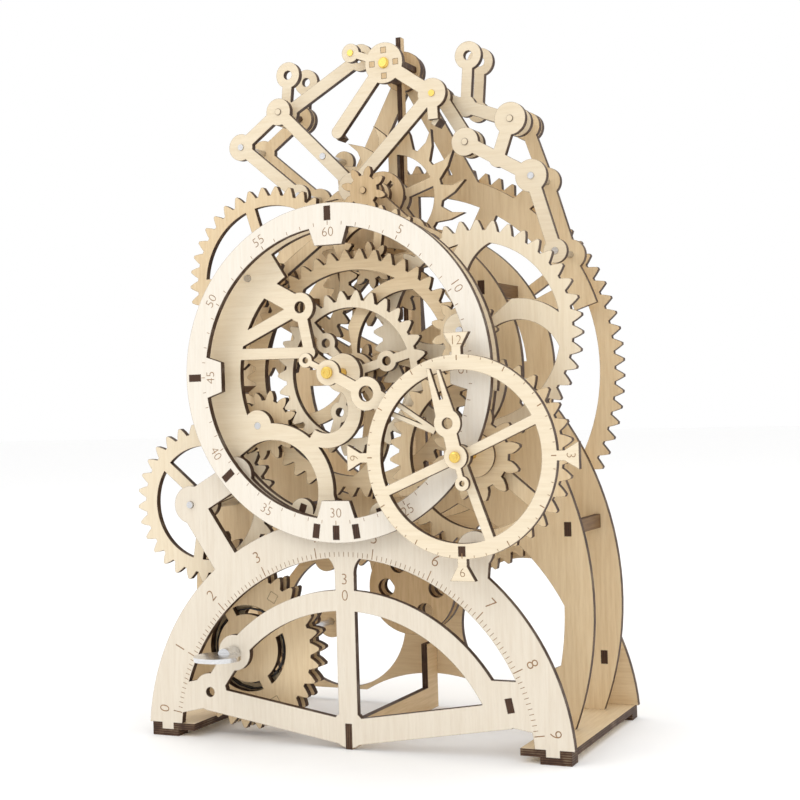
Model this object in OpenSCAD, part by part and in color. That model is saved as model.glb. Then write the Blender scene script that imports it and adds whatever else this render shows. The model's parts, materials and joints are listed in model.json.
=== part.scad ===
// Laser-cut plywood pendulum clock kit: a wind-up gear train between upright plates,
// a minute ring, an hour ring and a pendulum that hangs from a linkage crown.
// Every plate stands parallel to the front. X runs right, Y runs back, Z runs up.

/* [Plywood] */
// Thickness of every plywood sheet
ply = 3; // [2.8:0.1:3.2]
// Air between two moving sheets
gap = 1; // [0.8:0.1:1.2]
// Clearance each side of a tab in its slot
slot_fit = 0.05; // [0.02:0.01:0.1]
// Clearance on radius between a turning shaft and its bearing
run_fit = 0.05; // [0.02:0.01:0.09]
// Extra clearance on radius at a loose link pivot
loose_fit = 0.4; // [0.3:0.05:0.6]

/* [Stand] */
// Width across the feet
stand_w = 200; // [195:1:250]
// Depth from the front plate to the back plate
stand_d = 98; // [96:0.5:120]
// Width of the arch band
arch_w = 17; // [12:0.5:22]
// Width of the two base boards
board_w = 22; // [21:0.5:30]
// Height of the foot pads
foot_h = 3; // [2:0.5:5]
// Radius of the curved leg edges
leg_r = 144; // [140:1:170]
// Width of a leg
leg_w = 13; // [10:0.5:16]

/* [Dials] */
// Outer radius of the minute ring
minute_r = 72.6; // [71:0.2:80]
// Width of the minute ring
minute_w = 10; // [9.5:0.2:14]
// Outer radius of the hour ring
hour_r = 41.5; // [38:0.5:46]
// Width of the hour ring
hour_w = 6.3; // [5:0.1:8]
// Length of the minute hand
minute_hand_l = 55; // [45:1:60]
// Length of the hour hand
hour_hand_l = 38; // [25:1:40]

/* [Gears] */
// Tooth size of the main gears
tooth_m = 2.3; // [2.2:0.01:2.4]
// Height of the centre of the movement above the floor
centre_z = 162; // [158:0.5:175]
// Radius of a steel arbor
pin_r = 1.5; // [1.2:0.1:1.8]
// Radius of the centre tube and the pendulum axle
tube_r = 2; // [1.8:0.1:2.4]
// Radius of the escape wheel
escape_r = 36.5; // [33:0.5:37]

/* [Pendulum] */
// Height of the pendulum axle above the escape wheel
axle_rise = 62.4; // [61:0.1:66]
// Distance from the pendulum axle to the middle of the bob
rod_l = 246; // [200:1:250]
// Radius of the bob
bob_r = 22; // [16:1:26]

/* [Hidden] */
$fn = 64;
board_top = foot_h + ply;
outer_tab = 0.5 * stand_w - 8;
inner_tab = 0.5 * stand_w - 15.5;
arch_c = -2.4;
arch_r = 0.5 * stand_w + 1.8;
leg_c = [0.5 * stand_w - 1 - leg_r, 58];
arm_r = 75.2;
arm_c = -11.2;
arm_w = 9;
ring_hole_r = minute_r - minute_w;

// Front faces of the layers, counted from the front of the front plate
y_front = -0.5 * stand_d;
y_hour_hand = y_front - 18.2;
y_hour_ring = y_front - 14.2;
y_minute_hand = y_front - 10;
y_minute_ring = y_front - 6.4;
y_train = y_front + ply + gap;
y_hour_gear = y_train + ply + gap;
y_drive = y_hour_gear + ply + gap;
y_great = y_drive + ply + gap + 0.5;
y_right = y_great + ply + gap + 0.5;
y_upper = y_right + ply + gap + 0.5;
y_third = y_upper + ply + gap + 0.5;
y_mid = y_third + ply + gap + 4.5;
y_bridge = y_mid + ply + 4.5;
rod_t = 4;
y_arm = y_bridge + ply + 7;
y_link1 = y_arm + ply + 0.6;
y_escape = y_link1 + ply + 0.6;
y_link2 = y_escape + ply + 0.5;
y_link3 = y_link2 + ply + 0.5;
y_rod = y_link3 + ply;
y_hub_back = y_rod + rod_t;
y_rear = y_hub_back + ply + 1.5;
y_back_links = y_rear + ply + 1;
y_back = 0.5 * stand_d - ply;
y_big = y_back - ply - 2;

// Teeth
n_barrel = 30;
n_left = 30;
n_idler = 12;
n_centre = 30;
n_great = 46;
n_upper_pin = 9;
n_upper = 38;
n_third_pin = 8;
n_third = 22;
n_escape_pin = 8;
n_centre_pin = 10;
n_right = 40;
n_right_pin = 11;
n_hour = 33;
n_rear_pin = 8;
n_big = 86;
n_escape = 15;
m_hour = 2.372;
m_upper = 2.2;
pressure = 30;
play = 0.09;

// Places of the arbors as [x, z]
function mirrored(c) = [-c[0], c[1]];
function polar(c, r, a) = [c[0] + r * cos(a), c[1] + r * sin(a)];
function mesh(n1, n2, m) = 0.5 * m * (n1 + n2);
function phase(p1, n1, n2, a) = a + 180 + 180 / n2 - (p1 - a) * n1 / n2;
a_idler = 207.1;
a_left = 226.2;
a_barrel = -72.7;
a_rear = 109.7;
a_big = 49.2;
a_right = 15.9;
a_hour = -84.1;
a_upper = 136.3;
a_third = 4.9;
a_escape = 97.8;
centre = [0, centre_z];
idler = polar(centre, mesh(n_centre, n_idler, tooth_m), a_idler);
left = polar(idler, mesh(n_idler, n_left, tooth_m), a_left);
barrel = polar(left, mesh(n_left, n_barrel, tooth_m), a_barrel);
rear = polar(barrel, mesh(n_barrel, n_rear_pin, tooth_m), a_rear);
big = polar(rear, mesh(n_rear_pin, n_big, tooth_m), a_big);
right = polar(centre, mesh(n_centre_pin, n_right, tooth_m), a_right);
hour = polar(right, mesh(n_right_pin, n_hour, m_hour), a_hour);
upper = polar(centre, mesh(n_great, n_upper_pin, tooth_m), a_upper);
third = polar(upper, mesh(n_upper, n_third_pin, m_upper), a_third);
escape = polar(third, mesh(n_third, n_escape_pin, tooth_m), a_escape);
axle = [0, escape[1] + axle_rise];

// Tooth phases that put every pair in mesh at rest
p_centre = 0;
p_idler = phase(p_centre, n_centre, n_idler, a_idler);
p_left = phase(p_idler, n_idler, n_left, a_left);
p_barrel = phase(p_left, n_left, n_barrel, a_barrel);
p_rear = phase(p_barrel, n_barrel, n_rear_pin, a_rear);
p_big = phase(p_rear, n_rear_pin, n_big, a_big);
p_right = phase(p_centre, n_centre_pin, n_right, a_right);
p_hour = phase(0, n_right_pin, n_hour, a_hour);
p_upper_pin = phase(p_centre, n_great, n_upper_pin, a_upper);
p_third_pin = phase(0, n_upper, n_third_pin, a_third);
p_escape_pin = phase(0, n_third, n_escape_pin, a_escape);

// Crown linkage joints, measured from the pendulum axle
function at_axle(dx, dz) = [axle[0] + dx, axle[1] + dz];
j_arm = at_axle(23.7, -16.7);
j_low = at_axle(-18.3, -56.3);
j_left = at_axle(-58.5, -15.9);
j_left_tip = at_axle(-17.1, 6.7);
j_left_ring = at_axle(-56.5, 3);
j_left_end = at_axle(-79.8, -31);
j_left_foot = at_axle(-48.8, -57.2);
j_left_low = at_axle(-35, -39.6);
j_left_point = at_axle(-22, -52.7);
j_bend = at_axle(37.9, -39.9);
j_right = at_axle(69.2, -58.2);
j_right_foot = at_axle(79.5, -92.6);
j_elbow = at_axle(34.6, -21.5);
j_right_ring = at_axle(36.5, 1.9);
j_right_end = at_axle(60, -31.6);
pallet_gap = 2.5;
pallet_l = polar(escape, escape_r + pallet_gap, 128);
pallet_r = polar(escape, escape_r + pallet_gap, 52);
link_w = 6;
disc_r = 6.5;

// Frame ties as [x, z]
tie_w = 6;
ring_tie_r = minute_r - 4.4;
ring_ties = [90, 180, 219.6, 262, 270, 278];
inner_tie_r = 63.5;
inner_ties = [185, 250, 285];
side_tie = [0.5 * stand_w - 11.5, 92];
outer_ties = [[52, centre_z + 36], [-52, centre_z + 36], side_tie, mirrored(side_tie)];
back_tie = [0.5 * stand_w - 10, 30];
back_ties = [back_tie, mirrored(back_tie)];
low_tie = [74, 23];
left_hole = [-69, 21];
beam_h = 11;
bridge_ties = [[-16, centre_z + 63], [20, centre_z + 63.5]];
hour_post = [hour[0], hour[1] - hour_r + 0.5 * hour_w];

// ---------- drawing helpers ----------
module sheet(y, t = ply) {
    translate([0, y + t, 0]) rotate([90, 0, 0]) linear_extrude(t) children();
}
module shaft(c, r, y0, y1) {
    translate([c[0], y1, c[1]]) rotate([90, 0, 0]) cylinder(r = r, h = y1 - y0);
}
module spot(c, r) {
    translate(c) circle(r);
}
module bar(a, b, w) {
    d = b - a;
    translate(a) rotate(atan2(d[1], d[0])) translate([0, -0.5 * w]) square([norm(d), w]);
}
module link(a, b, w, ra, rb) {
    bar(a, b, w);
    spot(a, ra);
    spot(b, rb);
}
module tab(c, a = 0, w = tie_w, t = ply, fit = 0) {
    translate(c) rotate(a) square([t + 2 * fit, w + 2 * fit], center = true);
}
module band(c, r1, r0) {
    difference() {
        spot(c, r1);
        spot(c, r0);
    }
}
module wedge(c, r, a0, a1) {
    n = 12;
    polygon(concat([c], [for (i = [0 : n]) polar(c, r, a0 + (a1 - a0) * i / n)]));
}
module above(z) {
    translate([-200, z]) square([400, 400]);
}

// Involute tooth profile as polar points from the root of one flank to the root of the other
function roll(rb, r) = r <= rb ? 0 : sqrt(r * r / rb / rb - 1) * 180 / PI - acos(rb / r);
function flank(n, m, r) = let (rp = 0.5 * m * n, rb = rp * cos(pressure))
    90 / n * (1 - play) + roll(rb, rp) - roll(rb, r);
function tooth(n, m, a) = let (rp = 0.5 * m * n,
    rs = [rp - 1.05 * m, rp - 0.45 * m, rp + 0.2 * m, rp + 0.8 * m])
    concat([for (i = [0 : 3]) polar([0, 0], rs[i], a - flank(n, m, rs[i]))],
        [for (i = [3 : -1 : 0]) polar([0, 0], rs[i], a + flank(n, m, rs[i]))]);
module gear(c, n, m, p = 0) {
    translate(c) polygon([for (i = [0 : n - 1]) for (q = tooth(n, m, p + 360 * i / n)) q]);
}
function root_r(n, m) = 0.5 * m * n - 1.05 * m;

// A wheel: toothed rim, hub disc and spokes that may curve
module rim(c, n, m, p, w) {
    difference() {
        gear(c, n, m, p);
        spot(c, root_r(n, m) - w);
    }
}
module spokes(c, r, w, count, a0) {
    for (i = [0 : count - 1]) bar(c, polar(c, r, a0 + 360 * i / count), w);
}
module crescent_spokes(c, r, w, count, a0) {
    rr = 0.62 * r;
    for (i = [0 : count - 1]) {
        o = polar(c, rr, a0 + 360 * i / count);
        intersection() {
            band(o, rr + 0.5 * w, rr - 0.5 * w);
            wedge(c, 2 * r, a0 + 360 * i / count - 2, a0 + 360 * i / count + 78);
            spot(c, r + 1);
        }
    }
}

// ---------- frame plates ----------
module arch() {
    intersection() {
        band([0, arch_c], arch_r, arch_r - arch_w);
        above(board_top);
    }
}
module foot_tabs(x, w) {
    for (s = [-1, 1]) translate([s * x - 0.5 * w, foot_h]) square([w, ply]);
}
module front_plate() {
    hole = pin_r + run_fit;
    color("#e6cfa3") sheet(y_front) difference() {
        union() {
            arch();
            foot_tabs(outer_tab, 6);
            intersection() {
                band([0, arm_c], arm_r + 0.5 * arm_w, arm_r - 0.5 * arm_w);
                translate([barrel[0], 18]) square([low_tie[0] + 6 - barrel[0], 100]);
            }
            spot(barrel, 8);
            link(barrel, left_hole, arm_w, 1, 8.5);
            bar([-0.5 * stand_w + 9, 16], left_hole, 13);
            bar(left_hole - [0, 3], [0, 7], 11);
            bar([0, 7], low_tie - [0, 4], 11);
            translate([low_tie[0] - 9, low_tie[1] - 9]) square([16, 19]);
            bar(low_tie - [2, 0], [0.5 * stand_w - 9, 20], 17);
            spot([0, 8.5], 8);
            bar([0, 6], [0, arch_r + arch_c - 4], arm_w);
            for (s = [-1, 1]) difference() {
                translate([s * 8.5 - 5, 74]) square([10, 11]);
                spot([s * 13.5, 75.5], 9);
            }
            // Arm that carries the left wheel
            link(left, polar(centre, ring_tie_r, 219.6), 12, 8.5, 8);
            bar(left, polar([0, arch_c], arch_r - 8, 126), 13);
            intersection() {
                band(centre, minute_r - 1, ring_hole_r + 1);
                wedge(centre, 100, 216, 284);
            }
            // Lobe below the hour ring
            link(polar([0, arch_c], arch_r - 8, 51), hour_post - [0, 1], 13, 7, 8);
        }
        for (c = [barrel, left]) spot(c, hole);
        spot(left_hole, 2.2);
        tab([0, 0.5 * beam_h], 0, beam_h, ply, slot_fit);
        tab(low_tie, 12, tie_w, ply, slot_fit);
        for (i = [2 : 5])
            tab(polar(centre, ring_tie_r, ring_ties[i]), ring_ties[i] - 90, tie_w, ply, slot_fit);
        tab(hour_post, 0, 4, ply, slot_fit);
    }
}
module minute_ring() {
    tab_h = 9;
    color("#f0e2c4") sheet(y_minute_ring) difference() {
        union() {
            band(centre, minute_r, ring_hole_r);
            for (a = [90, 180, 270]) translate(centre) rotate(a) translate([ring_hole_r + 1, 0])
                polygon([[0, 9.5], [-tab_h, 6.5], [-tab_h, -6.5], [0, -9.5]]);
            translate(centre) translate([ring_hole_r + 1, 0])
                polygon([[0, 9.5], [-tab_h, 6.5], [-tab_h, -6.5], [0, -9.5]]);
        }
        for (a = ring_ties) tab(polar(centre, ring_tie_r, a), a - 90, tie_w, ply, slot_fit);
        link(hour, polar(hour, 12, -30), 2 * pin_r + 3, pin_r + 1.5, 1);
    }
}
module hour_ring() {
    color("#ecd9b2") sheet(y_hour_ring) difference() {
        union() {
            band(hour, hour_r, hour_r - hour_w);
            for (a = [24, 203, 290]) bar(hour, polar(hour, hour_r - 2, a), 4);
            spot(hour, 5);
            for (i = [0 : 3]) translate(hour) rotate(90 * i) translate([hour_r - 1, 0])
                polygon([[0, -2], [4, -2], [10, -5.5], [10, 5.5], [4, 2], [0, 2]]);
        }
        spot(hour, pin_r + run_fit);
        tab(hour_post, 0, 4, ply, slot_fit);
    }
}
// Ring and scrolls just behind the minute ring
module train_plate() {
    scroll = [-36, centre_z - 51];
    hook = [-8.5, centre_z - 15.5];
    crook = [-20, centre_z + 29.5];
    hole = pin_r + run_fit;
    color("#d9b985") sheet(y_train) difference() {
        union() {
            difference() {
                band(centre, minute_r - 1, ring_hole_r + 0.6);
                // Room for the hour train on the right
                wedge(centre, 100, -76, -8);
            }
            intersection() {
                band(centre, minute_r - 1, 51);
                wedge(centre, 100, 122, 214);
            }
            difference() {
                spot(scroll, 30);
                spot(scroll, 22.5);
                wedge(scroll, 60, 168, 290);
            }
            bar(scroll + [26.2, -2], [-6, centre_z - 68], 7.5);
            difference() {
                spot(hook, 17);
                spot(hook, 10.5);
                wedge(hook, 40, 66, 236);
            }
            link(centre, polar(hook, 13.7, 62), 8, 8.5, 3.2);
            link(upper, crook, 8.5, 8, 6.5);
            bar(crook, [-55, centre_z + 14], 5.5);
            link([-53, centre_z + 10], crook + [4, -20], 5, 3, 3);
            bar(crook, crook + [4, -20], 5);
            link(polar(centre, 66, 10), right, 9, 3, 7.5);
            link(polar(centre, 66, 22), right, 7, 3, 7.5);
            spot(idler, 7);
            bar(idler, polar(centre, 60, 204), 8);
            for (a = inner_ties) spot(polar(centre, inner_tie_r, a), 5.5);
        }
        spot(centre, tube_r + run_fit);
        for (c = [upper, right]) spot(c, hole);
        spot(idler, pin_r);
        spot(crook, 2.6);
        for (a = ring_ties) tab(polar(centre, ring_tie_r, a), a - 90, tie_w, ply, slot_fit);
        for (a = inner_ties) tab(polar(centre, inner_tie_r, a), a - 90, tie_w, ply, slot_fit);
    }
}
// Pair of bowed legs, joined above by an arch
module leg_pair(r) {
    intersection() {
        spot(leg_c, r);
        spot(mirrored(leg_c), r);
    }
}
module leg_frame(top) {
    difference() {
        intersection() {
            leg_pair(leg_r);
            translate([-150, board_top]) square([300, top - board_top]);
        }
        intersection() {
            leg_pair(leg_r - leg_w);
            spot([0, 13.3], 0.5 * stand_w - 2.6);
        }
    }
    foot_tabs(inner_tab, 5);
}
module mid_plate() {
    hole = pin_r + run_fit;
    color("#d3b17b") sheet(y_mid) difference() {
        union() {
            difference() {
                union() {
                    leg_frame(150);
                    spot(centre, 70);
                }
                spot(centre, 57);
            }
            for (a = [30, 150, 262]) bar(centre, polar(centre, 60, a), 8);
            spot(centre, 9);
            link(third, polar(centre, 60, 60), 9, 7, 4);
            link(third, polar(centre, 60, 105), 9, 7, 4);
            for (c = bridge_ties) link(c, escape, 6, 6, 5.5);
            spot(hour, 8);
            spot(upper, 8);
            spot(right, 8);
            spot(left, 8);
            link(rear, mirrored(side_tie), 10, 7.5, 4);
            link(rear, barrel, 10, 4, 9);
            link(barrel, mirrored(back_tie), 10, 4, 3);
            link(barrel, click_c, 8, 4, 5);
            link(low_tie, back_tie, 11, 6, 3);
        }
        spot(centre, tube_r + run_fit);
        for (c = [third, escape, hour, upper, right, left, rear, barrel]) spot(c, hole);
        spot(click_c, pin_r);
        tab(low_tie, 12, tie_w, ply, slot_fit);
        for (a = inner_ties) tab(polar(centre, inner_tie_r, a), a - 90, tie_w, ply, slot_fit);
        for (c = outer_ties) tab(c, 0, tie_w, ply, slot_fit);
        for (c = bridge_ties) tab(c, 0, tie_w, ply, slot_fit);
    }
}
module bridge_plate() {
    hole = pin_r + run_fit;
    color("#cda971") sheet(y_bridge) difference() {
        union() {
            for (c = bridge_ties) link(third, c, 7, 6, 5);
            link(third, escape, 7, 7.5, 5.5);
        }
        for (c = [third, escape]) spot(c, hole);
        for (c = bridge_ties) tab(c, 0, tie_w, ply, slot_fit);
    }
}
module rear_plate() {
    hole = pin_r + run_fit;
    color("#cba66d") sheet(y_rear) difference() {
        union() {
            difference() {
                union() {
                    leg_frame(150);
                    spot(centre, 70);
                }
                spot(centre, 57);
            }
            bar(centre, polar(centre, 60, 270), 9);
            for (a = [0, 90, 180]) bar(centre, polar(centre, 60, a), 8);
            spot(centre, 9);
            intersection() {
                band(centre, 96, 85);
                wedge(centre, 120, 18, 162);
            }
            for (a = [24, 62, 90, 118, 156]) bar(polar(centre, 66, a), polar(centre, 90, a), 9);
            for (s = [-1, 1]) bar([s * 34, centre_z + 82], axle, 9);
            spot(axle, 9);
            link(polar(centre, 88, 118), j_left_foot, 9, 4, 6);
            link(polar(centre, 88, 112), j_left_low, 8, 3.5, 5.5);
            link(j_left_foot, j_left_end, link_w, 4, disc_r);
            link(j_left_end, j_left, link_w, 4, disc_r);
            spot(j_right_foot, 7);
            link(j_right_foot, j_right, link_w, 4, disc_r);
            link(polar(centre, 90, 55), j_right, 9, 4, 4);
            link(j_right, j_right_end, link_w, 4, disc_r);
            link(rear, mirrored(side_tie), 10, 7.5, 4);
        }
        spot(axle, tube_r + run_fit);
        for (c = [big, j_left, j_right_end, rear]) spot(c, hole);
        for (c = [j_left_foot, j_left_low, j_left_end, j_right_foot, j_right]) spot(c, pin_r);
        for (c = outer_ties) tab(c, 0, tie_w, ply, slot_fit);
        for (c = back_ties) tab(c, 0, tie_w, ply, slot_fit);
    }
}
module back_plate() {
    hole = pin_r + run_fit;
    color("#d0ac74") sheet(y_back) difference() {
        union() {
            difference() {
                intersection() {
                    spot([0, arch_c], arch_r);
                    above(board_top);
                }
                for (s = [-1, 1]) spot([s * 48, 40], 33);
                for (s = [-1, 1]) spot([s * 28, 84], 5);
                spot([0, -58], 74);
            }
            foot_tabs(outer_tab, 6);
            link([0, 60], big, 12, 10, 9);
            link([-58, 71], rear, 11, 6.5, 8);
            link([-84, 39], barrel, 9, 5.5, 8);
        }
        for (c = [big, rear, barrel]) spot(c, hole);
        tab([0, 26], 0, 8, ply, slot_fit);
        for (c = back_ties) tab(c, 0, tie_w, ply, slot_fit);
    }
}
module base_boards() {
    color("#dcc08e") translate([0, 0, foot_h]) linear_extrude(ply) for (s = [-1, 1]) difference() {
        translate([s * 0.5 * (stand_w - board_w) - 0.5 * board_w, y_front]) square([board_w, stand_d]);
        for (y = [y_front, y_back]) translate([s * outer_tab - 3 - slot_fit, y - slot_fit])
            square([6 + 2 * slot_fit, ply + 2 * slot_fit]);
        for (y = [y_mid, y_rear]) translate([s * inner_tab - 2.5 - slot_fit, y - slot_fit])
            square([5 + 2 * slot_fit, ply + 2 * slot_fit]);
    }
}
module foot_pads() {
    pad = [13.5, 8];
    color("#dcc08e") for (s = [-1, 1]) for (y = [y_front, 0.5 * stand_d - pad[1]])
        translate([s * (0.5 * stand_w - 0.5 * pad[0]) - 0.5 * pad[0], y, 0]) cube([pad[0], pad[1], foot_h]);
}
module centre_beam() {
    color("#c9a66e") translate([-0.5 * ply, 0, 0]) rotate([90, 0, 90]) linear_extrude(ply) {
        translate([y_front, 0]) square([stand_d - ply, beam_h]);
        translate([y_back - 12, 0]) square([12, beam_h + 21]);
        translate([y_back - 1, 22]) square([ply + 1, 8]);
    }
}
module front_ties() {
    color("#b08a55") {
        for (i = [0 : 5]) sheet(y_minute_ring, y_train + ply - y_minute_ring)
            tab(polar(centre, ring_tie_r, ring_ties[i]), ring_ties[i] - 90);
        sheet(y_hour_ring, y_front + ply - y_hour_ring) tab(hour_post, 0, 4);
    }
}
module train_ties() {
    color("#b08a55") {
        for (a = inner_ties) sheet(y_train, y_mid + ply - y_train) tab(polar(centre, inner_tie_r, a), a - 90);
        sheet(y_front, y_mid + ply - y_front) tab(low_tie, 12);
    }
}
module frame_ties() {
    color("#b08a55") {
        for (c = outer_ties) sheet(y_mid, y_rear + ply - y_mid) tab(c);
        for (c = back_ties) sheet(y_rear, y_back + ply - y_rear) tab(c);
    }
}
module bridge_posts() {
    color("#b08a55") for (c = bridge_ties) sheet(y_mid, y_bridge + ply - y_mid) tab(c);
}
module left_gallows() {
    color("#efe0bf") sheet(y_link1) difference() {
        union() {
            link(j_left_foot, j_left_end, link_w, 5.5, disc_r);
            link(j_left_end, j_left, link_w, 4, disc_r);
            link(j_left, j_left_point, link_w, 4, 3.6);
        }
        spot(j_left, pin_r + run_fit);
        for (c = [j_left_foot, j_left_end, j_left_low]) spot(c, pin_r);
    }
}
module right_gallows() {
    color("#efe0bf") sheet(y_link1) difference() {
        union() {
            link(j_right_foot, j_right, link_w, 5.5, 7.4);
            link(j_right, j_bend, link_w, 4, disc_r);
            link(0.5 * (j_right + j_bend), j_right_end, link_w, 4, 7.4);
        }
        for (c = [j_bend, j_right_end]) spot(c, pin_r + run_fit);
        for (c = [j_right_foot, j_right]) spot(c, pin_r);
    }
}
module link_posts() {
    color("#b9bcc0") {
        for (c = [j_left_foot, j_left_end, j_left_low, j_right_foot, j_right])
            shaft(c, pin_r, y_link1 - 0.5, y_rear + ply);
        shaft(click_c, pin_r, ratchet_y - 1, y_mid + ply);
    }
}
module idler_stud() {
    color("#b9bcc0") {
        shaft(idler, pin_r, y_train, y_drive + ply + 0.6);
        shaft(idler, pin_r + 1, y_drive + ply + 0.6, y_drive + ply + 1.4);
    }
}

// ---------- barrel ----------
drum_r = 27;
drum_y = y_drive + ply;
drum_t = ply;
module barrel_front_gear() {
    color("#dfc291") sheet(y_drive) difference() {
        gear(barrel, n_barrel, tooth_m, p_barrel);
        difference() {
            band(barrel, 19.5, 15.5);
            for (a = [30, 120, 210, 300]) bar(barrel, polar(barrel, 30, a), 5);
        }
        spot(barrel, pin_r + run_fit);
        for (a = [60, 180, 300]) tab(polar(barrel, drum_r, a), a, 4, 4, slot_fit);
    }
}
module barrel_drum() {
    color("#cfae7a") {
        sheet(drum_y, drum_t) band(barrel, drum_r, drum_r - 4);
        for (a = [60, 180, 300]) sheet(y_drive, 3 * ply) tab(polar(barrel, drum_r, a), a, 4, 4);
    }
}
module barrel_rear_gear() {
    color("#d8b985") sheet(drum_y + drum_t) difference() {
        gear(barrel, n_barrel, tooth_m, p_barrel);
        spot(barrel, pin_r + run_fit);
        for (a = [60, 180, 300]) tab(polar(barrel, drum_r, a), a, 4, 4, slot_fit);
        for (i = [0 : 2]) spot(polar(barrel, 13, 90 + 120 * i), 5);
    }
}
// Spiral of spring steel from the arbor out to the drum
function coil(a0, a1, r0, r1, w, n) = [for (i = [0 : n]) let (t = i / n)
    polar([0, 0], r0 + (r1 - r0) * t + w, a0 + (a1 - a0) * t)];
module mainspring() {
    n = 110;
    turns = 6;
    reach = drum_r - 4.6;
    outer = coil(0, 360 * turns, 5.7, reach, 0.25, n);
    inner = coil(0, 360 * turns, 5.7, reach, -0.25, n);
    color("#3b3a3c") sheet(drum_y + 0.3, drum_t - 0.6) translate(barrel)
        polygon(concat(outer, [for (i = [n : -1 : 0]) inner[i]]));
}
module barrel_arbor() {
    color("#b9bcc0") {
        shaft(barrel, pin_r, y_front - 7, y_back + ply + 0.6);
        shaft(barrel, 5.2, drum_y + 0.2, drum_y + drum_t - 0.2);
    }
}
module winding_key() {
    wing = 9.5;
    color("#aeb2b8") difference() {
        union() {
            translate([barrel[0], y_front - 14.5, barrel[1] - 1]) linear_extrude(2) {
                for (s = [-1, 1]) translate([s, 0]) circle(wing);
                square([2, 2 * wing], center = true);
            }
            shaft(barrel, 3.2, y_front - 9, y_front - 0.6);
        }
        shaft(barrel, pin_r, y_front - 7, y_front + 1);
    }
}
ratchet_r = 12;
ratchet_y = y_right + ply + 0.5;
module ratchet_wheel() {
    n = 12;
    color("#cfae7a") sheet(ratchet_y) difference() {
        translate(barrel) polygon([for (i = [0 : n - 1]) for (q = [
            polar([0, 0], ratchet_r - 2.2, 360 * i / n),
            polar([0, 0], ratchet_r, 360 * (i + 0.06) / n)
        ]) q]);
        spot(barrel, pin_r);
    }
}
click_c = [barrel[0] + 18, barrel[1] + 14];
module click() {
    color("#dfc291") sheet(ratchet_y) difference() {
        union() {
            link(click_c, polar(barrel, ratchet_r + 2.2, 70), 3.4, 4, 1.7);
            link(click_c, click_c + [9, -2], 4, 4, 2.5);
        }
        spot(click_c, pin_r + run_fit);
    }
}

// ---------- gear train ----------
module left_wheel() {
    color("#e2c797") sheet(y_drive) difference() {
        union() {
            rim(left, n_left, tooth_m, p_left, 6);
            spokes(left, 28, 5, 3, 20);
            spot(left, 7);
        }
        spot(left, pin_r);
    }
}
module sleeve(c, r, y0, y1, bore = pin_r) {
    difference() {
        shaft(c, r, y0, y1);
        shaft(c, bore, y0 - 1, y1 + 1);
    }
}
module left_arbor() {
    color("#b9bcc0") {
        shaft(left, pin_r, y_front - 1.2, y_mid + ply + 1);
        sleeve(left, 3, y_front + ply + 0.5, y_drive);
        sleeve(left, 3, y_drive + ply, y_mid - 0.5);
    }
}
module idler_gear() {
    color("#e2c797") sheet(y_drive) difference() {
        gear(idler, n_idler, tooth_m, p_idler);
        spot(idler, pin_r + run_fit);
    }
}
module centre_gear() {
    color("#ecd6ab") sheet(y_drive) difference() {
        union() {
            rim(centre, n_centre, tooth_m, p_centre, 3.4);
            for (a = [15, 131, 251]) link(centre, polar(centre, 30, a), 4, 7, 2);
            for (a = [15, 131, 251]) spot(polar(centre, 18, a), 4.6);
        }
        for (a = [15, 131, 251]) spot(polar(centre, 18, a), 2);
        spot(centre, tube_r);
    }
}
module centre_great_wheel() {
    color("#dcbd89") sheet(y_great) difference() {
        union() {
            rim(centre, n_great, tooth_m, p_centre, 5);
            crescent_spokes(centre, 46, 6, 5, 20);
            spot(centre, 9);
        }
        spot(centre, tube_r);
    }
}
module centre_pinion() {
    color("#cfae7a") {
        sheet(y_right) difference() {
            gear(centre, n_centre_pin, tooth_m, p_centre);
            spot(centre, tube_r);
        }
        sheet(y_right + ply, 9) band(centre, 6, tube_r);
    }
}
module centre_tube() {
    color("#d8a93a") difference() {
        shaft(centre, tube_r, y_minute_hand - 2.4, y_mid + ply + 1.5);
        shaft(centre, 0.8, y_minute_hand - 3, y_minute_hand + 6);
    }
}
module minute_hand() {
    a = -28;
    c = centre;
    eye = polar(c, 20, a);
    color("#efe0bf") sheet(y_minute_hand, 2) difference() {
        union() {
            link(c, eye, 5, 5.5, 7.2);
            link(c, polar(c, 12, a + 180), 2.6, 3, 3.2);
            polygon([
                polar(c, 21, a - 13),
                polar(c, minute_hand_l, a - 1.4),
                polar(c, minute_hand_l, a + 1.4),
                polar(c, 21, a + 13)
            ]);
        }
        spot(eye, 3.3);
        spot(polar(c, 12, a + 180), 1.3);
        polygon([polar(c, 30, a - 3.6), polar(c, minute_hand_l - 6, a), polar(c, 30, a + 3.6)]);
        spot(c, tube_r);
    }
}
module right_wheel() {
    color("#ead3a8") sheet(y_right) difference() {
        union() {
            rim(right, n_right, tooth_m, p_right, 5.2);
            crescent_spokes(right, 40, 9, 4, 50);
            spot(right, 8);
        }
        spot(right, pin_r);
    }
}
module right_pinion() {
    color("#e2c797") sheet(y_hour_gear) difference() {
        gear(right, n_right_pin, m_hour, 0);
        spot(right, pin_r);
    }
}
module right_arbor() {
    color("#b9bcc0") {
        shaft(right, pin_r, y_train - 1.2, y_mid + ply + 1);
        sleeve(right, 2.2, y_hour_gear + ply, y_right);
        sleeve(right, 3, y_right + ply, y_mid - 0.5);
    }
}
module hour_gear() {
    color("#d9b985") sheet(y_hour_gear) difference() {
        union() {
            rim(hour, n_hour, m_hour, p_hour, 5);
            spokes(hour, 32, 6, 3, 80);
            spot(hour, 9.5);
        }
        spot(hour, pin_r);
        for (i = [0 : 3]) tab(polar(hour, 6, 45 + 90 * i), 45 + 90 * i, 3, 3, slot_fit);
    }
}
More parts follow.
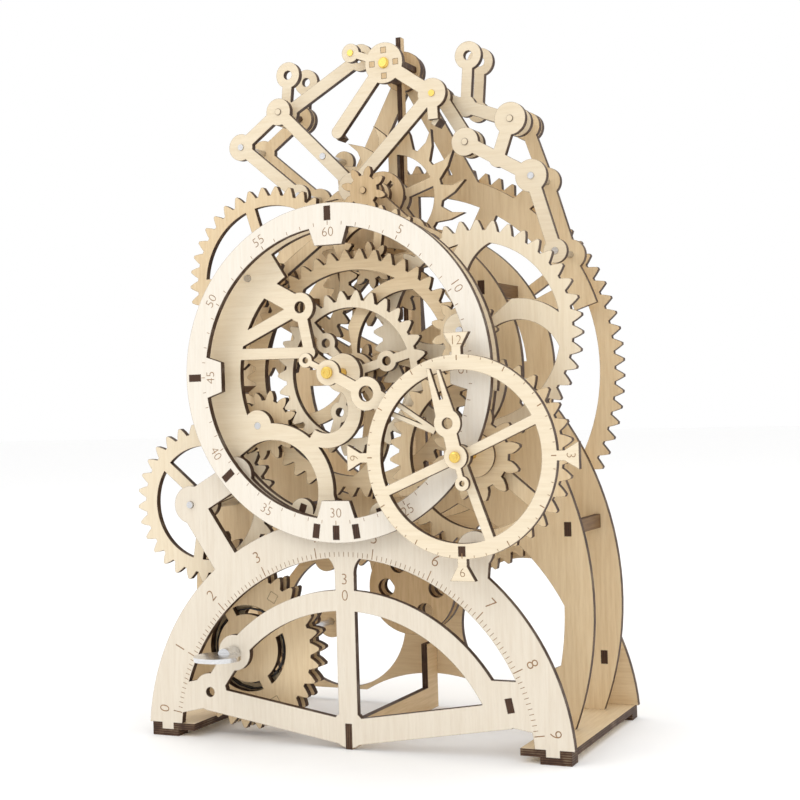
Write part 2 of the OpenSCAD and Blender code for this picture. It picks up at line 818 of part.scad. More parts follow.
// Thick-toothed finger wheel that sets the hour hand
module hour_setting_wheel() {
    n = 12;
    color("#dcbd89") {
        sheet(y_train) difference() {
            gear(hour, n, 2.9, 10);
            spot(hour, pin_r);
            for (i = [0 : 3]) tab(polar(hour, 6, 45 + 90 * i), 45 + 90 * i, 3, 3, slot_fit);
        }
        sheet(y_train - 1.5, y_hour_gear + ply - y_train + 1.5) for (i = [0 : 3])
            tab(polar(hour, 6, 45 + 90 * i), 45 + 90 * i, 3, 3);
        sheet(y_train - 3, 1.5) band(hour, 9.5, pin_r);
    }
}
module hour_arbor() {
    color("#d8a93a") shaft(hour, pin_r, y_hour_hand - 2.2, y_mid + ply + 1);
}
module hour_hand() {
    a = 103;
    c = hour;
    eye = polar(c, 14, a);
    color("#efe0bf") sheet(y_hour_hand, 2) difference() {
        union() {
            link(c, eye, 6, 5, 5.8);
            link(c, polar(c, 11, a + 180), 2.4, 3, 3);
            polygon([
                polar(c, 15, a - 17),
                polar(c, hour_hand_l - 2, a - 3.4),
                polar(c, hour_hand_l, a + 5),
                polar(c, 15, a + 17)
            ]);
        }
        spot(eye, 2.3);
        spot(polar(c, 11, a + 180), 1.1);
        polygon([
            polar(c, 24, a - 2),
            polar(c, hour_hand_l + 2, a - 1.2),
            polar(c, hour_hand_l + 2, a + 3),
            polar(c, 24, a + 2)
        ]);
        spot(c, pin_r);
    }
}
module upper_wheel() {
    color("#e8d0a3") sheet(y_upper) difference() {
        union() {
            rim(upper, n_upper, m_upper, 0, 4.6);
            spokes(upper, 35, 5, 5, 35);
            spot(upper, 9);
        }
        spot(upper, pin_r);
        for (i = [0 : 3]) tab(polar(upper, 5.8, 45 + 90 * i), 45 + 90 * i, 3, 3, slot_fit);
    }
}
module upper_pinion() {
    color("#cfae7a") {
        sheet(y_great) difference() {
            gear(upper, n_upper_pin, tooth_m, p_upper_pin);
            spot(upper, pin_r);
        }
        sheet(y_great + ply, y_upper - y_great - ply) band(upper, 4, pin_r);
        sheet(y_upper, 7) for (i = [0 : 3]) tab(polar(upper, 5.8, 45 + 90 * i), 45 + 90 * i, 3, 3);
        sheet(y_upper + 7, ply) band(upper, 9, pin_r);
    }
}
module upper_arbor() {
    color("#b9bcc0") shaft(upper, pin_r, y_train - 1.2, y_mid + ply + 1);
}
module third_wheel() {
    color("#dcbd89") {
        sheet(y_third) difference() {
            union() {
                rim(third, n_third, tooth_m, 0, 4);
                spokes(third, 20, 4, 5, 10);
                spot(third, 6);
            }
            spot(third, pin_r);
        }
        sheet(y_upper) difference() {
            gear(third, n_third_pin, m_upper, p_third_pin);
            spot(third, pin_r);
        }
        sheet(y_upper + ply, y_third - y_upper - ply) band(third, 4, pin_r);
    }
}
module third_arbor() {
    color("#b9bcc0") shaft(third, pin_r, y_upper - 1, y_bridge + ply + 1);
}
module escape_wheel() {
    color("#e2c797") sheet(y_escape) difference() {
        union() {
            translate(escape) polygon([for (i = [0 : n_escape - 1]) let (a = 360 * i / n_escape)
                for (q = [[escape_r - 12, a - 7], [escape_r - 6, a + 1], [escape_r, a + 9.5],
                    [escape_r - 6.5, a + 7.5], [escape_r - 12, a + 11]]) polar([0, 0], q[0], q[1])]);
            spot(escape, 6);
        }
        difference() {
            spot(escape, escape_r - 16);
            spokes(escape, escape_r, 4.5, 5, 18);
            spot(escape, 8);
        }
        spot(escape, pin_r);
    }
}
module escape_arbor() {
    color("#b9bcc0") shaft(escape, pin_r, y_third - 1, y_escape + ply + 0.4);
    color("#cfae7a") {
        sheet(y_third) difference() {
            gear(escape, n_escape_pin, tooth_m, p_escape_pin);
            spot(escape, pin_r);
        }
        sheet(y_bridge + ply + 0.5, 2.5) difference() {
            spot(escape, 11);
            for (i = [0 : 3]) tab(polar(escape, 5.4, 45 + 90 * i), 45 + 90 * i, 2.4, 5);
        }
        sheet(y_bridge + ply + 3, y_escape - y_bridge - ply - 3) for (i = [0 : 3])
            spot(polar(escape, 5, 90 * i), 1.5);
    }
}
module rear_drive() {
    color("#b9bcc0") shaft(rear, pin_r, drum_y + drum_t - 1, y_back + ply);
    color("#cfae7a") for (y = [drum_y + drum_t, y_big]) sheet(y) difference() {
        gear(rear, n_rear_pin, tooth_m, p_rear);
        spot(rear, pin_r);
    }
}
module big_wheel() {
    color("#d6b47e") sheet(y_big) difference() {
        union() {
            rim(big, n_big, tooth_m, p_big, 7);
            spokes(big, 92, 5, 6, 33);
            spot(big, 12);
        }
        spot(big, pin_r);
    }
}
module big_arbor() {
    color("#b9bcc0") shaft(big, pin_r, y_rear, y_back + ply);
}

// ---------- pendulum ----------
module pendulum_anchor() {
    color("#ecd9b2") {
        sheet(y_arm) difference() {
            union() {
                spot(axle, 9.5);
                bar(axle, pallet_l + [-1, 2], link_w);
                spot(pallet_l + [-1, 2], 3.05);
                link(axle, j_left_tip, 3.4, 4, 4.4);
                link(axle, j_arm, link_w, 4, 6.9);
                bar(j_arm, pallet_r + [0, 3], link_w - 1);
                link(j_arm, j_low, link_w, 4, 7);
            }
            spot(axle, tube_r);
            for (c = [j_arm, j_left_tip, j_low]) spot(c, pin_r);
            for (i = [0 : 3]) tab(polar(axle, 6, 90 * i), 90 * i, 2.6, 2.6, slot_fit);
        }
        // Pallet blocks that reach back into the plane of the escape wheel
        for (c = [pallet_l, pallet_r]) sheet(y_arm + ply - 1, y_escape + ply - y_arm - ply + 1) {
            d = c - escape;
            translate(c) rotate(atan2(d[1], d[0])) square([4, 2.5]);
        }
    }
}
module hub_bars() {
    color("#a9824f") {
        for (i = [0 : 3]) sheet(y_arm, (i % 2 == 0 ? y_hub_back : y_rod) - y_arm)
            tab(polar(axle, 6, 90 * i), 90 * i, 2.6, 2.6);
        sheet(y_hub_back) difference() {
            spot(axle, 9.5);
            spot(axle, tube_r);
        }
    }
}
module pendulum_axle() {
    color("#d8a93a") {
        shaft(axle, tube_r, y_arm - 1.5, y_rod);
        shaft(axle, tube_r, y_hub_back, y_rear + ply + 0.8);
        shaft(j_arm, pin_r, y_arm - 0.5, y_link3 + ply + 0.4);
        shaft(j_left_tip, pin_r, y_arm - 0.5, y_link2 + ply + 0.3);
        shaft(j_low, pin_r, y_arm - 0.5, y_arm + ply + 0.3);
    }
}
module pendulum_rod() {
    color("#b9935c") translate([axle[0] - 1.25, y_rod, axle[1] - rod_l]) cube([2.5, rod_t, rod_l + 15.5]);
}
module pendulum_bob() {
    c = [axle[0], axle[1] - rod_l];
    color("#c9a468") for (y = [y_rod - ply, y_rod + rod_t]) sheet(y) difference() {
        spot(c, bob_r);
        for (i = [0 : 5]) spot(polar(c, 13, 60 * i), 4.2);
    }
}

// ---------- crown linkage ----------
// Slot that lets a pin slide a little along a lever
module slide(pivot, pin) {
    d = pin - pivot;
    e = 1.2 * d / norm(d);
    link(pin - e, pin + e, 2 * (pin_r + loose_fit), pin_r + loose_fit, pin_r + loose_fit);
}
module left_lever() {
    color("#f2e6c8") {
        sheet(y_link2) difference() {
            union() {
                link(j_left, j_left_tip, link_w, disc_r, 6.4);
                link(j_left, j_left_ring, link_w - 1, 4, 6.3);
            }
            spot(j_left, pin_r);
            spot(j_left_ring, 2.2);
            slide(j_left, j_left_tip);
        }
        sheet(y_back_links) difference() {
            link(j_left, j_left_ring, link_w - 1, disc_r, 6.3);
            spot(j_left, pin_r);
            spot(j_left_ring, 2.2);
        }
        shaft(j_left, pin_r, y_link1 - 0.5, y_back_links + ply);
    }
}
module right_lever() {
    color("#f2e6c8") {
        sheet(y_link2) difference() {
            link(j_bend, j_arm, link_w, disc_r, 5);
            spot(j_bend, pin_r);
            slide(j_bend, j_arm);
        }
        shaft(j_bend, pin_r, y_link1 - 0.5, y_link2 + ply + 0.3);
    }
}
module ring_lever() {
    color("#f2e6c8") {
        sheet(y_link3) difference() {
            union() {
                link(j_right_end, j_elbow, link_w, disc_r, 5);
                link(j_elbow, j_right_ring, link_w - 1, 5, disc_r);
                link(j_elbow, j_arm, link_w, 4, 4.6);
            }
            spot(j_right_end, pin_r);
            spot(j_right_ring, 2.2);
            slide(j_right_end, j_arm);
        }
        sheet(y_back_links) difference() {
            union() {
                link(j_right_end, j_elbow, link_w - 1, disc_r, 5);
                link(j_elbow, j_right_ring, link_w - 1, 4, disc_r);
            }
            spot(j_right_end, pin_r);
            spot(j_right_ring, 2.2);
        }
        shaft(j_right_end, pin_r, y_link1 - 0.5, y_back_links + ply);
    }
}

front_plate();
minute_ring();
hour_ring();
train_plate();
mid_plate();
bridge_plate();
rear_plate();
back_plate();
base_boards();
foot_pads();
centre_beam();
front_ties();
train_ties();
frame_ties();
bridge_posts();
left_gallows();
right_gallows();
link_posts();
idler_stud();
barrel_front_gear();
barrel_drum();
barrel_rear_gear();
mainspring();
barrel_arbor();
winding_key();
ratchet_wheel();
click();
left_wheel();
left_arbor();
idler_gear();
centre_gear();
centre_great_wheel();
centre_pinion();
centre_tube();
minute_hand();
right_wheel();
right_pinion();
right_arbor();
hour_gear();
hour_setting_wheel();
hour_arbor();
hour_hand();
upper_wheel();
upper_pinion();
upper_arbor();
third_wheel();
third_arbor();
escape_wheel();
escape_arbor();
rear_drive();
big_wheel();
big_arbor();
pendulum_anchor();
hub_bars();
pendulum_axle();
pendulum_rod();
pendulum_bob();
left_lever();
right_lever();
ring_lever();
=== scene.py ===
"""Looks of a laser-cut plywood clock kit: ply faces, scorched edges, engraved dials, pins and light."""
import json
import math

import bpy
import numpy as np
from mathutils import Matrix, Vector


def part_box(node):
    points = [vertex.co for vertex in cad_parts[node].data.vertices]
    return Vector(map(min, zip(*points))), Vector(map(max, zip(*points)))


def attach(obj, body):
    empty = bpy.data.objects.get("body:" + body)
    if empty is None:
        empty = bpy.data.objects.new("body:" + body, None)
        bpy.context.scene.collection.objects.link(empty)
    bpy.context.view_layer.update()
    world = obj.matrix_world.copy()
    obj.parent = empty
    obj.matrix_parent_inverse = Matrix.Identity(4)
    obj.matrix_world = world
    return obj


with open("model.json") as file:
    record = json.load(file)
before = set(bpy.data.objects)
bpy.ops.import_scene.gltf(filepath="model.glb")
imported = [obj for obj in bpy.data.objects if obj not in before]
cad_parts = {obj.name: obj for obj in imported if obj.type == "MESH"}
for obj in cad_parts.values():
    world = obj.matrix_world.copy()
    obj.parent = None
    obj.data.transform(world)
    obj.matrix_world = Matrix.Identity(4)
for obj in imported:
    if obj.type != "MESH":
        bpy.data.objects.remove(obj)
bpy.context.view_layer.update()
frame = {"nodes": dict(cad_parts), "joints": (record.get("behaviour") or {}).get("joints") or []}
nodes = frame["nodes"]
MM = 0.001
MARK_SLOT = "tie_ply"
MARK_HALF = 0.00004


# ---------- where things are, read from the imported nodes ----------
def middle(node):
    """Middle of a node's box, in metres."""
    low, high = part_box(node)
    return (low + high) / 2


def front_of(node):
    """The y of a node's front face."""
    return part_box(node)[0].y


dial_centre = middle("centre_tube")
hour_centre = middle("hour_arbor")
joint_at = {j["child"]: Vector(j["pos_m"]) for j in frame["joints"]}


# ---------- shader building ----------
class Nodes:
    """A thin helper that adds nodes to one material and links them."""

    def __init__(self, name):
        self.mat = bpy.data.materials.new(name)
        self.mat.use_nodes = True
        self.tree = self.mat.node_tree
        self.tree.nodes.clear()
        self.out = self.add("ShaderNodeOutputMaterial")
        self.bsdf = self.add("ShaderNodeBsdfPrincipled")
        self.link(self.bsdf.outputs[0], self.out.inputs[0])

    def add(self, kind, **values):
        node = self.tree.nodes.new(kind)
        for key, value in values.items():
            setattr(node, key, value)
        return node

    def link(self, a, b):
        self.tree.links.new(a, b)

    def math(self, op, a, b=None, clamp=False):
        node = self.add("ShaderNodeMath", operation=op, use_clamp=clamp)
        for i, v in enumerate([a, b]):
            if v is None:
                continue
            if isinstance(v, (int, float)):
                node.inputs[i].default_value = v
            else:
                self.link(v, node.inputs[i])
        return node.outputs[0]

    def place(self, scale, turn=(0, 0, 0)):
        coords = self.add("ShaderNodeTexCoord")
        mapping = self.add("ShaderNodeMapping")
        mapping.inputs["Scale"].default_value = scale
        mapping.inputs["Rotation"].default_value = turn
        self.link(coords.outputs["Object"], mapping.inputs["Vector"])
        return mapping.outputs[0]

    def noise(self, vector, scale, detail=4, rough=0.6):
        node = self.add("ShaderNodeTexNoise")
        node.inputs["Scale"].default_value = scale
        node.inputs["Detail"].default_value = detail
        node.inputs["Roughness"].default_value = rough
        self.link(vector, node.inputs["Vector"])
        return node.outputs["Fac"]

    def ramp(self, fac, stops):
        node = self.add("ShaderNodeValToRGB")
        while len(node.color_ramp.elements) < len(stops):
            node.color_ramp.elements.new(0.5)
        for element, (at, colour) in zip(node.color_ramp.elements, stops):
            element.position = at
            element.color = (*colour, 1)
        self.link(fac, node.inputs[0])
        return node.outputs[0]

    def mix(self, fac, a, b):
        node = self.add("ShaderNodeMix", data_type="RGBA")
        if isinstance(fac, (int, float)):
            node.inputs[0].default_value = fac
        else:
            self.link(fac, node.inputs[0])
        for socket, v in ((node.inputs[6], a), (node.inputs[7], b)):
            if isinstance(v, tuple):
                socket.default_value = (*v, 1)
            else:
                self.link(v, socket)
        return node.outputs[2]

    def bump(self, height, distance, strength=1.0):
        node = self.add("ShaderNodeBump")
        node.inputs["Strength"].default_value = strength
        node.inputs["Distance"].default_value = distance
        self.link(height, node.inputs["Height"])
        self.link(node.outputs[0], self.bsdf.inputs["Normal"])


def ply(name, light, dark, face="Y", grain="Z", scorch_and_shade=(0.03, 0.013, 0.006)):
    """Birch ply: pale faces with fine grain, a thin scorched rim, and browned edges that show the plies. The
    edge colour is darker than the scorch alone, with painted shade added.
    """
    n = Nodes(name)
    stretch = {"X": (6, 90, 90), "Y": (90, 6, 90), "Z": (90, 90, 6)}[grain]
    long_grain = n.noise(n.place(stretch), 9, 5, 0.65)
    broad = n.noise(n.place((1, 1, 1)), 22, 3)
    pores = n.noise(n.place(tuple(v * 3 for v in stretch)), 14, 2, 0.5)
    face_tone = n.ramp(long_grain, [(0.32, dark), (0.62, light)])
    face_tone = n.mix(n.math("MULTIPLY", n.math("SUBTRACT", broad, 0.42, True), 0.75, True), face_tone, dark)
    pore_mark = n.math("MULTIPLY", n.math("SUBTRACT", 0.36, pores, True), 4.0, True)
    face_tone = n.mix(n.math("MULTIPLY", pore_mark, 0.5), face_tone, tuple(c * 0.62 for c in dark))
    # Scorched rim: where a rounded copy of the normal leans away from the true one
    geometry = n.add("ShaderNodeNewGeometry")
    rounded = n.add("ShaderNodeBevel", samples=4)
    rounded.inputs["Radius"].default_value = 0.0005
    lean = n.add("ShaderNodeVectorMath", operation="DOT_PRODUCT")
    n.link(rounded.outputs[0], lean.inputs[0])
    n.link(geometry.outputs["Normal"], lean.inputs[1])
    rim = n.math("MULTIPLY", n.math("SUBTRACT", 1.0, lean.outputs["Value"], True), 3.2, True)
    split = n.add("ShaderNodeSeparateXYZ")
    n.link(geometry.outputs["Normal"], split.inputs[0])
    flat = n.math("GREATER_THAN", n.math("ABSOLUTE", split.outputs[face]), 0.7)
    # Edge: two dark glue lines between three plies, with uneven burning along the cut; the dark edge stops
    # are scorch deepened with painted shade
    where = n.add("ShaderNodeSeparateXYZ")
    n.link(n.place((1, 1, 1)), where.inputs[0])
    ply_lines = n.math("SINE", n.math("MULTIPLY", where.outputs[face], 2 * math.pi / 0.001))
    burn = n.noise(n.place((1, 1, 1)), 160, 4)
    edge_mix = n.math("ADD", n.math("MULTIPLY", ply_lines, 0.14), burn)
    # the darkest stops of this edge ramp are burnt wood plus painted shade, darker than the scorch itself
    edge_scorch_and_shade_tone = n.ramp(edge_mix, [(0.3, scorch_and_shade), (0.56, tuple(c * 2.4 for c in scorch_and_shade)),
                                  (0.84, tuple(0.3 * c for c in dark))])
    face_tone = n.mix(n.math("MULTIPLY", rim, 0.92), face_tone, (0.10, 0.047, 0.018))
    n.link(n.mix(flat, edge_scorch_and_shade_tone, face_tone), n.bsdf.inputs["Base Color"])
    rough = n.math("ADD", n.math("MULTIPLY", long_grain, 0.18), 0.5)
    n.link(rough, n.bsdf.inputs["Roughness"])
    n.bsdf.inputs["Specular IOR Level"].default_value = 0.32
    n.bump(n.math("ADD", long_grain, n.math("MULTIPLY", pores, 0.6)), 0.00006, 0.7)
    return n.mat


def metal(name, colour, rough, brushed="Y", spread=0.12):
    """Turned or drawn metal with fine lines along one direction and slight tarnish."""
    n = Nodes(name)
    scale = {"X": (8, 220, 220), "Y": (220, 8, 220), "Z": (220, 220, 8)}[brushed]
    lines = n.noise(n.place(scale), 8, 3)
    tarnish = n.noise(n.place((1, 1, 1)), 90, 3)
    tone = n.ramp(lines, [(0.3, tuple(c * 0.78 for c in colour)), (0.7, colour)])
    tone = n.mix(n.math("MULTIPLY", n.math("SUBTRACT", tarnish, 0.5, True), 0.9, True), tone,
                 tuple(c * 0.55 for c in colour))
    n.link(tone, n.bsdf.inputs["Base Color"])
    n.bsdf.inputs["Metallic"].default_value = 1.0
    n.link(n.math("ADD", n.math("MULTIPLY", lines, spread), rough), n.bsdf.inputs["Roughness"])
    n.bump(lines, 0.00002, 0.5)
    return n.mat


def char(name):
    """Engraved marks: scorched wood, uneven in depth of tone."""
    n = Nodes(name)
    uneven = n.noise(n.place((1, 1, 1)), 700, 3)
    tone = n.ramp(uneven, [(0.3, (0.20, 0.105, 0.045)), (0.75, (0.40, 0.24, 0.12))])
    n.link(tone, n.bsdf.inputs["Base Color"])
    n.bsdf.inputs["Roughness"].default_value = 0.85
    n.bump(uneven, 0.00002, 0.6)
    return n.mat


PALE, PALE_DARK = (0.82, 0.71, 0.535), (0.755, 0.635, 0.455)
MID, MID_DARK = (0.79, 0.63, 0.41), (0.695, 0.525, 0.315)
DEEP, DEEP_DARK = (0.68, 0.50, 0.295), (0.56, 0.39, 0.205)
ply_pale = ply("birch_ply_pale", PALE, PALE_DARK)
ply_pale_across = ply("birch_ply_pale_across", PALE, PALE_DARK, grain="X")
ply_mid = ply("birch_ply", MID, MID_DARK)
ply_mid_across = ply("birch_ply_across", MID, MID_DARK, grain="X")
ply_deep = ply("birch_ply_deep", DEEP, DEEP_DARK)
ply_board = ply("birch_ply_board", MID, MID_DARK, face="Z", grain="Y")
ply_beam = ply("birch_ply_beam", DEEP, DEEP_DARK, face="X", grain="Y")
ply_tie = ply("birch_ply_tie", (0.20, 0.115, 0.05), (0.11, 0.055, 0.022), face="X", grain="Y")
ply_front = ply("birch_ply_front", (0.765, 0.69, 0.575), (0.71, 0.625, 0.505))
ply_ring = ply("birch_ply_ring", (0.82, 0.76, 0.665), (0.775, 0.705, 0.60))
steel = metal("drawn_steel_pin", (0.70, 0.70, 0.71), 0.24)
key_steel = metal("stamped_key_steel", (0.78, 0.78, 0.79), 0.2, "X")
brass = metal("turned_brass", (0.93, 0.66, 0.17), 0.26)
spring_steel = metal("blued_spring_steel", (0.085, 0.085, 0.095), 0.3, "Z")
mark = char("engraved_mark")

FINISH = (
    (ply_front, ["front_plate"]),
    (ply_ring, ["minute_ring"]),
    (ply_pale, ["left_wheel", "right_wheel", "centre_gear"]),
    (ply_pale_across, [
        "hour_ring", "train_plate", "minute_hand", "hour_hand", "left_gallows", "right_gallows",
        "left_lever", "right_lever", "ring_lever", "pendulum_anchor"]),
    (ply_mid, [
        "mid_plate", "rear_plate", "big_wheel", "upper_wheel", "hour_gear", "idler_gear", "right_pinion",
        "escape_wheel", "barrel_front_gear", "third_wheel"]),
    (ply_mid_across, [
        "back_plate", "bridge_plate", "centre_great_wheel", "barrel_rear_gear", "barrel_drum",
        "hour_setting_wheel", "click"]),
    (ply_deep, [
        "ratchet_wheel", "centre_pinion", "upper_pinion", "pendulum_bob", "hub_bars", "rear_drive",
        "escape_arbor"]),
    (ply_board, ["base_boards", "foot_pads"]),
    (ply_beam, ["centre_beam", "pendulum_rod"]),
    (ply_tie, ["front_ties", "train_ties", "frame_ties", "bridge_posts"]),
    (steel, [
        "link_posts", "idler_stud", "barrel_arbor", "left_arbor", "right_arbor", "upper_arbor",
        "third_arbor", "big_arbor"]),
    (key_steel, ["winding_key"]),
    (brass, ["centre_tube", "hour_arbor", "pendulum_axle"]),
    (spring_steel, ["mainspring"]),
)
for finish, members in FINISH:
    for member in members:
        mesh = nodes[member].data
        mesh.materials.clear()
        mesh.materials.append(finish)


# ---------- surfaces ----------
def put(name, points, faces, body, material, slot, smooth=False):
    """A mesh object whose place is in its points, riding on one body. Faces may differ in corner count."""
    mesh = bpy.data.meshes.new(name)
    mesh.from_pydata(np.asarray(points, float).reshape(-1, 3).tolist(), [], faces)
    mesh.materials.append(material)
    if smooth:
        mesh.shade_smooth()
    mesh.update()
    piece = bpy.data.objects.new(name, mesh)
    bpy.context.scene.collection.objects.link(piece)
    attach(piece, body)


def turned(name, profile, centre, body, material, slot, around=40):
    """Solid of revolution about the Y line through centre: x = r cos t, z = r sin t, y from the profile.
    The profile starts and ends on the axis, so the solid is closed."""
    profile = np.array(profile, float) * MM
    turn = np.linspace(0, 2 * np.pi, around, endpoint=False)
    inner = profile[1:-1]
    ring = np.stack([np.outer(inner[:, 0], np.cos(turn)), np.repeat(inner[:, 1:2], around, 1),
                     np.outer(inner[:, 0], np.sin(turn))], -1).reshape(-1, 3)
    ends = np.array([[0, profile[0, 1], 0], [0, profile[-1, 1], 0]])
    points = np.concatenate([ring, ends]) + np.array([centre[0], 0, centre[2]])
    rows = len(inner)
    i, j = np.meshgrid(np.arange(rows - 1), np.arange(around), indexing="ij")
    k = (j + 1) % around
    row, above = i * around, (i + 1) * around
    quads = np.stack([row + j, row + k, above + k, above + j], -1).reshape(-1, 4)
    a = np.arange(around)
    b = (a + 1) % around
    first = np.stack([np.full(around, rows * around), b, a], -1)
    top = (rows - 1) * around
    last = np.stack([np.full(around, rows * around + 1), top + a, top + b], -1)
    put(name, points, quads.tolist() + first.tolist() + last.tolist(), body, material, slot, smooth=True)


def strokes(starts, ends, width, front, depth=MARK_HALF):
    """Thin bars in XZ: start + t (end - start), half the width to each side, on the face at y = front."""
    a, b = np.asarray(starts, float), np.asarray(ends, float)
    along = (b - a) / np.linalg.norm(b - a, axis=1, keepdims=True)
    side = np.stack([-along[:, 1], along[:, 0]], 1) * width / 2
    corners = np.stack([a - side, b - side, b + side, a + side], 1)
    near = np.insert(corners, 1, front - depth, axis=2)
    far = np.insert(corners, 1, front + depth, axis=2)
    points = np.concatenate([near, far], 1).reshape(-1, 3)
    box = np.array([[0, 1, 2, 3], [7, 6, 5, 4], [0, 4, 5, 1], [1, 5, 6, 2], [2, 6, 7, 3], [3, 7, 4, 0]])
    faces = (np.arange(len(a))[:, None, None] * 8 + box).reshape(-1, 4)
    return points, faces.tolist()


def radial_ticks(centre, inner, outer, degrees):
    """Tick ends on two circles round a centre, as metres in X and Z."""
    t = np.radians(np.asarray(degrees, float))
    way = np.stack([np.cos(t), np.sin(t)], 1)
    at = np.array([centre[0], centre[2]])
    return at + way * inner * MM, at + way * outer * MM


def numerals(name, items, front, body):
    """Thin numbers: each item is text, height in mm, place (x, z) in metres and turn in degrees."""
    parts = []
    for text, height, (x, z), turn in items:
        curve = bpy.data.curves.new(name, "FONT")
        curve.body = text
        curve.size = height * 1.38 * MM
        curve.extrude = MARK_HALF
        curve.offset = -0.00011
        curve.align_x = "CENTER"
        curve.align_y = "CENTER"
        curve.resolution_u = 3
        maker = bpy.data.objects.new(name, curve)
        bpy.context.scene.collection.objects.link(maker)
        bpy.context.view_layer.update()
        mesh = bpy.data.meshes.new_from_object(maker)
        bpy.data.objects.remove(maker)
        a = math.radians(turn)
        mesh.transform(Matrix(((math.cos(a), -math.sin(a), 0, x), (0, 0, -1, front),
                               (math.sin(a), math.cos(a), 0, z), (0, 0, 0, 1))))
        parts.append(mesh)
    points, faces, at = [], [], 0
    for mesh in parts:
        co = np.empty(len(mesh.vertices) * 3)
        mesh.vertices.foreach_get("co", co)
        points.append(co.reshape(-1, 3))
        faces += [[v + at for v in p.vertices] for p in mesh.polygons]
        at += len(mesh.vertices)
        bpy.data.meshes.remove(mesh)
    put(name, np.concatenate(points), faces, body, mark, MARK_SLOT)


def on_circle(centre, radius, degrees):
    a = math.radians(degrees)
    return centre[0] + radius * MM * math.cos(a), centre[2] + radius * MM * math.sin(a)


# ---------- minute ring ----------
ring_low, ring_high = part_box("minute_ring")
minute_r = (ring_high.z - ring_low.z) / 2 / MM
ring_front = ring_low.y
ring_hole = minute_r - 10
minutes = np.arange(60)
fives = minutes % 5 == 0
for name, which, inner, width in (("minute_ticks", ~fives, ring_hole + 2.0, 0.00024),
                                  ("five_minute_ticks", fives & (minutes != 20), ring_hole + 2.3, 0.0003)):
    a, b = radial_ticks(dial_centre, ring_hole + 0.5, inner, 90 - 6 * minutes[which])
    put(name, *strokes(a, b, width, ring_front), "frame", mark, MARK_SLOT)
items = []
for five in range(5, 65, 5):
    angle = 90 - 6 * five
    quarter = five % 15 == 0
    turn = angle - 90 if five <= 15 or five >= 45 else angle + 90
    radius = minute_r - 12.6 if quarter else minute_r - 5.0
    if five == 20:
        # Set inwards, clear of the slot the hour arbor runs through
        radius = minute_r - 7.6
    items.append((str(five), 4.3, on_circle(dial_centre, radius, angle), turn))
numerals("minute_numerals", items, ring_front, "frame")

# ---------- hour ring ----------
hour_front = front_of("hour_ring")
hour_r = 41.5  # outer radius of the band, inside the pointer lugs
hours = np.arange(12)
a, b = radial_ticks(hour_centre, hour_r - 2.4, hour_r - 0.3, 90 - 30 * hours)
put("hour_ticks", *strokes(a, b, 0.0004, hour_front), "frame", mark, MARK_SLOT)
quarter_hours = np.arange(48)
quarter_hours = quarter_hours[quarter_hours % 4 != 0]
a, b = radial_ticks(hour_centre, hour_r - 1.3, hour_r - 0.3, 90 - 7.5 * quarter_hours)
put("quarter_hour_ticks", *strokes(a, b, 0.00025, hour_front), "frame", mark, MARK_SLOT)
quarters = (("12", 90, 0), ("3", 0, -90), ("6", -90, 0), ("9", 180, 90))
items = [(text, 4.0, on_circle(hour_centre, hour_r + 5.6, angle), turn) for text, angle, turn in quarters]
numerals("hour_numerals", items, hour_front, "frame")

# ---------- arch scale ----------
arch_front = front_of("front_plate")
arch_centre = Vector((0, 0, -2.4 * MM))
arch_inner = 84.8  # inner radius of the arch band, where the fine ticks start
fine = np.linspace(171, 9, 109)
short = np.arange(109) % 12 != 0
for name, which, reach, width in (("arch_ticks", short, 2.6, 0.00025),
                                  ("arch_long_ticks", ~short, 5.0, 0.0004)):
    a, b = radial_ticks(arch_centre, arch_inner + 0.5, arch_inner + reach, fine[which])
    put(name, *strokes(a, b, width, arch_front), "frame", mark, MARK_SLOT)
items = []
for i in range(10):
    angle = 171 - 18 * i
    items.append((str(i), 5.4, on_circle(arch_centre, arch_inner + 9.6, angle), angle - 90))
numerals("arch_numerals", items + [("3", 5.0, (0, 0.073), 0), ("0", 5.0, (0, 0.066), 0)], arch_front, "frame")

# ---------- brass caps on the hands and the pendulum ----------
def cap(name, centre, front, radius, body):
    """A domed cap: a flat back, a straight side and a quarter-ellipse crown towards the front."""
    t = np.linspace(0, np.pi / 2, 9)
    crown = [(radius * math.cos(v), front / MM + 0.9 - 0.9 * math.sin(v)) for v in t[:-1]]
    profile = [(0, front / MM + 1.7), (radius * 0.96, front / MM + 1.7), (radius, front / MM + 1.5)] + crown
    profile += [(0, front / MM)]
    turned(name, profile, centre, body, brass, "brass")


cap("minute_cap", dial_centre, front_of("centre_tube") + 0.0002, 2.6, "centre")
cap("hour_cap", hour_centre, front_of("hour_arbor") + 0.0002, 2.3, "hour")
cap("pendulum_cap", joint_at["pendulum"], front_of("pendulum_axle") + 0.0002, 2.6, "pendulum")

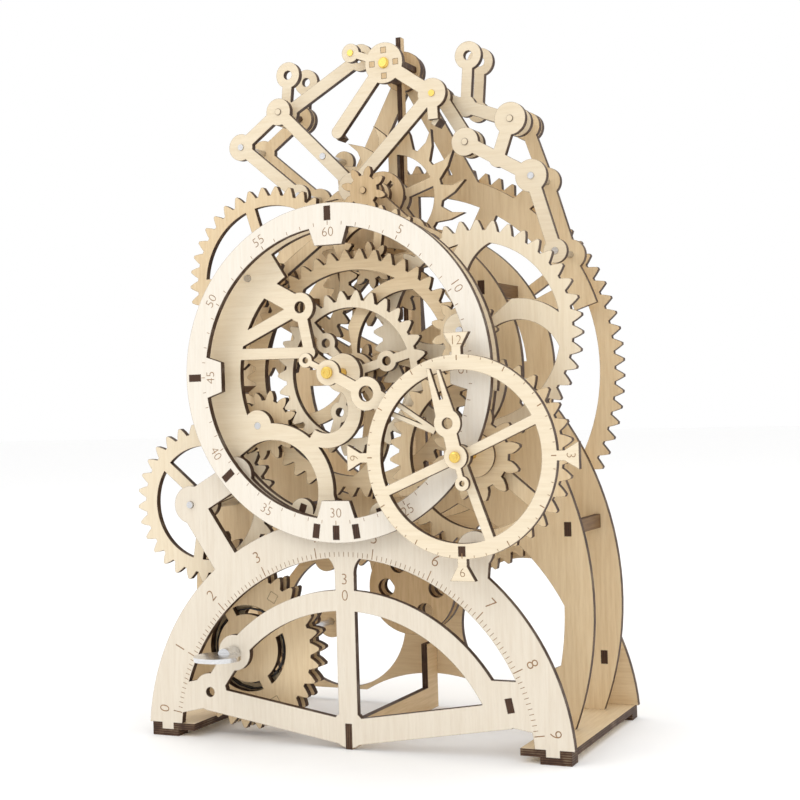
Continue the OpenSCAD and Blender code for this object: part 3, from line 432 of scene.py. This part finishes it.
# ---------- stage, light and camera ----------
floor = bpy.data.meshes.new("floor")
reach = 6.0
corners = [(-reach, -reach, 0), (reach, -reach, 0), (reach, reach, 0), (-reach, reach, 0)]
floor.from_pydata(corners, [], [(0, 1, 2, 3)])
floor_piece = bpy.data.objects.new("floor", floor)
bpy.context.scene.collection.objects.link(floor_piece)
paper = Nodes("floor_paper")
grit = paper.noise(paper.place((1, 1, 1)), 40, 2)
paper_tone = paper.ramp(grit, [(0.3, (0.97, 0.97, 0.97)), (0.7, (0.985, 0.985, 0.98))])
paper.link(paper_tone, paper.bsdf.inputs["Base Color"])
paper.bsdf.inputs["Roughness"].default_value = 0.9
floor.materials.append(paper.mat)

world = bpy.data.worlds.new("studio")
bpy.context.scene.world = world
world.use_nodes = True
world.node_tree.nodes["Background"].inputs[0].default_value = (1.0, 1.0, 1.0, 1)
world.node_tree.nodes["Background"].inputs[1].default_value = 1.0


def soft_light(name, place, target, size, power):
    lamp = bpy.data.lights.new(name, "AREA")
    lamp.size = size
    lamp.energy = power
    holder = bpy.data.objects.new(name, lamp)
    holder.location = place
    holder.rotation_euler = (Vector(target) - Vector(place)).to_track_quat("-Z", "Y").to_euler()
    bpy.context.scene.collection.objects.link(holder)


soft_light("key_light", (-0.7, -1.1, 1.1), (0, 0, 0.15), 0.9, 5)
soft_light("fill_light", (1.2, -0.7, 0.6), (0, 0, 0.15), 1.1, 1)
soft_light("top_light", (0.1, 0.3, 1.5), (0, 0, 0.1), 1.2, 4)


def view_camera(place, yaw, pitch, roll, focal):
    """Camera at a place, turned by yaw to the left, pitch down and roll. Focal length is in frame widths."""
    y, p, r = (math.radians(v) for v in (yaw, pitch, roll))
    ahead = Vector((-math.sin(y) * math.cos(p), math.cos(y) * math.cos(p), -math.sin(p)))
    right = Vector((math.cos(y), math.sin(y), 0))
    up = right.cross(ahead)
    right, up = math.cos(r) * right + math.sin(r) * up, -math.sin(r) * right + math.cos(r) * up
    data = bpy.data.cameras.new("camera")
    sensor = 36
    data.sensor_width = sensor
    data.lens = focal * sensor
    data.clip_start, data.clip_end = 0.02, 30
    holder = bpy.data.objects.new("camera", data)
    holder.matrix_world = Matrix((
        (right.x, up.x, -ahead.x, place[0]),
        (right.y, up.y, -ahead.y, place[1]),
        (right.z, up.z, -ahead.z, place[2]),
        (0, 0, 0, 1)))
    bpy.context.scene.collection.objects.link(holder)
    bpy.context.scene.camera = holder


view_camera(place=(0.286471, -0.616939, 0.147965), yaw=24.407, pitch=-0.1435, roll=-1.683, focal=1.84695)
bpy.context.scene.view_settings.view_transform = "Standard"
